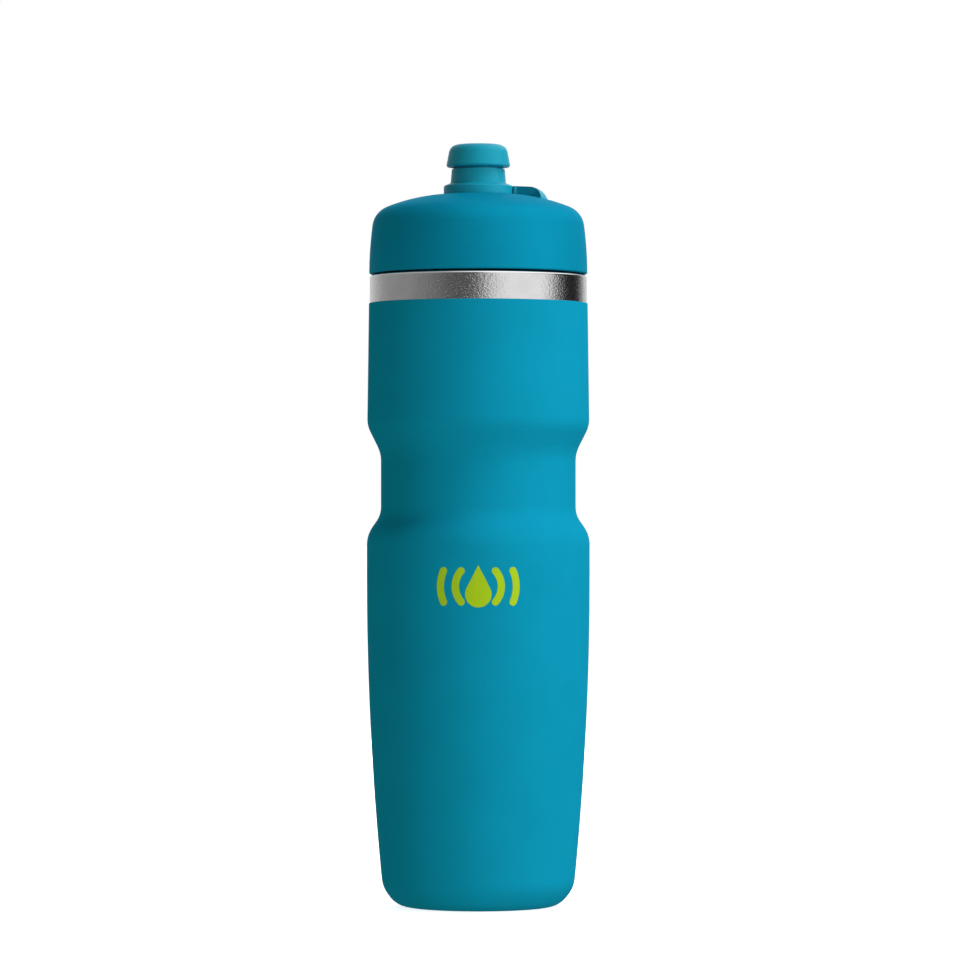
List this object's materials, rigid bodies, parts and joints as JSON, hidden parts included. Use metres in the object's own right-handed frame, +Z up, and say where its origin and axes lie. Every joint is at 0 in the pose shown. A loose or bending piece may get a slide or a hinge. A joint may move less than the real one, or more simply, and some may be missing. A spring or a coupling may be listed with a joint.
{
  "type": "insulated bicycle water bottle",
  "caption": "Waisted steel bicycle bottle with a soft-touch coating, a bare steel band, a domed screw lid and a push-pull drinking nozzle.",
  "frame": {"origin": "centre of the foot, on the plane it stands on", "axes": "+Z up the bottle, +X towards the nozzle's vent hood, -Y is the front"},
  "size_m": [0.0738, 0.0736, 0.2517],
  "materials": {
    "teal_coating": "soft-touch powder coat, fine grain",
    "lid_plastic": "matte moulded, fine grain",
    "nozzle_plastic": "matte moulded",
    "nozzle_silicone": "soft silicone, satin",
    "insert_plastic": "moulded, satin",
    "straw_plastic": "natural polypropylene",
    "clear_silicone": "milky silicone",
    "gasket_silicone": "satin silicone",
    "o_ring_rubber": "black rubber",
    "brushed_steel": "satin stainless steel, fine drawn texture",
    "bright_steel": "electropolished stainless steel",
    "getter_steel": "dark sintered metal in a steel cup",
    "solder_glass": "solidified sealing glass",
    "lime_ink": "pad-printed ink, for a print on the coating"
  },
  "bodies": {
    "bottle": {"outer_shell": "brushed_steel", "inner_liner": "bright_steel", "outer_base": "brushed_steel", "base_disc": "brushed_steel", "vacuum_seal": "solder_glass", "getter": "getter_steel", "grip_coating": "teal_coating"},
    "gasket": {"lid_gasket": "gasket_silicone"},
    "lid": {"lid_cover": "lid_plastic", "lid_thread_ring": "insert_plastic", "nozzle_base": "nozzle_plastic", "nozzle_stem": "insert_plastic", "nozzle_seal": "gasket_silicone", "nozzle_retainer": "insert_plastic", "vent_straw": "straw_plastic", "vent_duckbill": "clear_silicone"},
    "spout": {"spout_core": "insert_plastic", "spout_sleeve": "nozzle_silicone", "spout_o_ring": "o_ring_rubber"}
  },
  "joints": [
    {"name": "lid_lift", "type": "slide", "parent": "bottle", "child": "gasket", "axis": [0, 0, 1], "range_m": [0, 0.016]},
    {"name": "lid_turn", "type": "hinge", "parent": "gasket", "child": "lid", "pos_m": [0, 0, 0.2155], "axis": [0, 0, 1], "range_deg": [0, 1440]},
    {"name": "nozzle_pull", "type": "slide", "parent": "lid", "child": "spout", "axis": [0, 0, 1], "range_m": [0, 0.005]}
  ],
  "couplings": [
    {"joint": "lid_lift", "follows": "lid_turn", "m_per_rad": 0.00063662}
  ]
}
